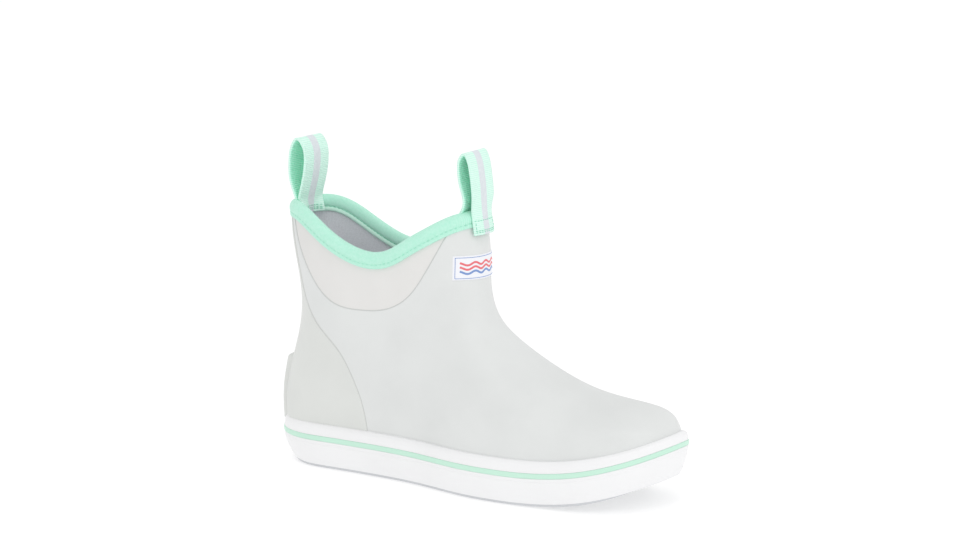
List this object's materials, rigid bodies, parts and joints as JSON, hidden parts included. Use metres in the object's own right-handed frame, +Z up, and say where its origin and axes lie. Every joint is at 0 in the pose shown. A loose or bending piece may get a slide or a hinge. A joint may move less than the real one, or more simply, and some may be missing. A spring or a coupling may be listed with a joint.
{
  "type": "ankle deck boot",
  "caption": "Ankle-height rubber slip-on boot with a dipped bound collar, webbing pull loops front and back, a wrapped sole band with a stripe, and a siped tread.",
  "frame": {"origin": "on the ground plane, under the middle of the boot's bounding box", "axes": "+X towards the toe, +Y towards the inner (medial) side of this right boot, +Z up"},
  "size_m": [0.2815, 0.0949, 0.201],
  "materials": {
    "sole_rubber": "matt, fine grain",
    "filler_sponge": "matt sponge",
    "foxing_rubber": "satin",
    "mint_rubber": "satin",
    "plate_rubber": "satin",
    "board": "pressed fibre board",
    "foam": "open-cell foam",
    "footbed_cloth": "brushed textile",
    "upper_rubber": "satin, hand-laid sheet rubber",
    "gore_rubber": "satin, softer sheet rubber",
    "lining_cloth": "knitted lining",
    "stiffener": "matt thermoplastic sheet",
    "mint_tape": "woven edge tape",
    "badge": "satin patch",
    "mint_webbing": "woven polyester webbing"
  },
  "bodies": {
    "root": {"outsole": "sole_rubber", "midsole_filler": "filler_sponge", "foxing_band": "foxing_rubber", "foxing_stripe": "mint_rubber", "heel_plate": "plate_rubber", "insole_board": "board", "footbed": "foam", "footbed_cover": "footbed_cloth", "vamp": "upper_rubber", "heel_counter": "upper_rubber", "outer_gore": "gore_rubber", "inner_gore": "gore_rubber", "kick_tab": "upper_rubber", "lining": "lining_cloth", "toe_stiffener": "stiffener", "heel_stiffener": "stiffener", "collar_binding": "mint_tape", "front_badge": "badge", "front_loop_ends": "mint_webbing", "rear_loop_ends": "mint_webbing"},
    "front_loop": {"front_pull_loop": "mint_webbing"},
    "rear_loop": {"rear_pull_loop": "mint_webbing"}
  },
  "joints": [
    {"name": "front_loop_fold", "type": "hinge", "parent": "root", "child": "front_loop", "pos_m": [-0.0033, 0.0015, 0.1655], "axis": [0, 1, 0], "range_deg": [-35, 35], "stiffness_Nm_per_rad": 0.02},
    {"name": "rear_loop_fold", "type": "hinge", "parent": "root", "child": "rear_loop", "pos_m": [-0.1261, 0.0015, 0.1625], "axis": [0, 1, 0], "range_deg": [-35, 35], "stiffness_Nm_per_rad": 0.02}
  ]
}
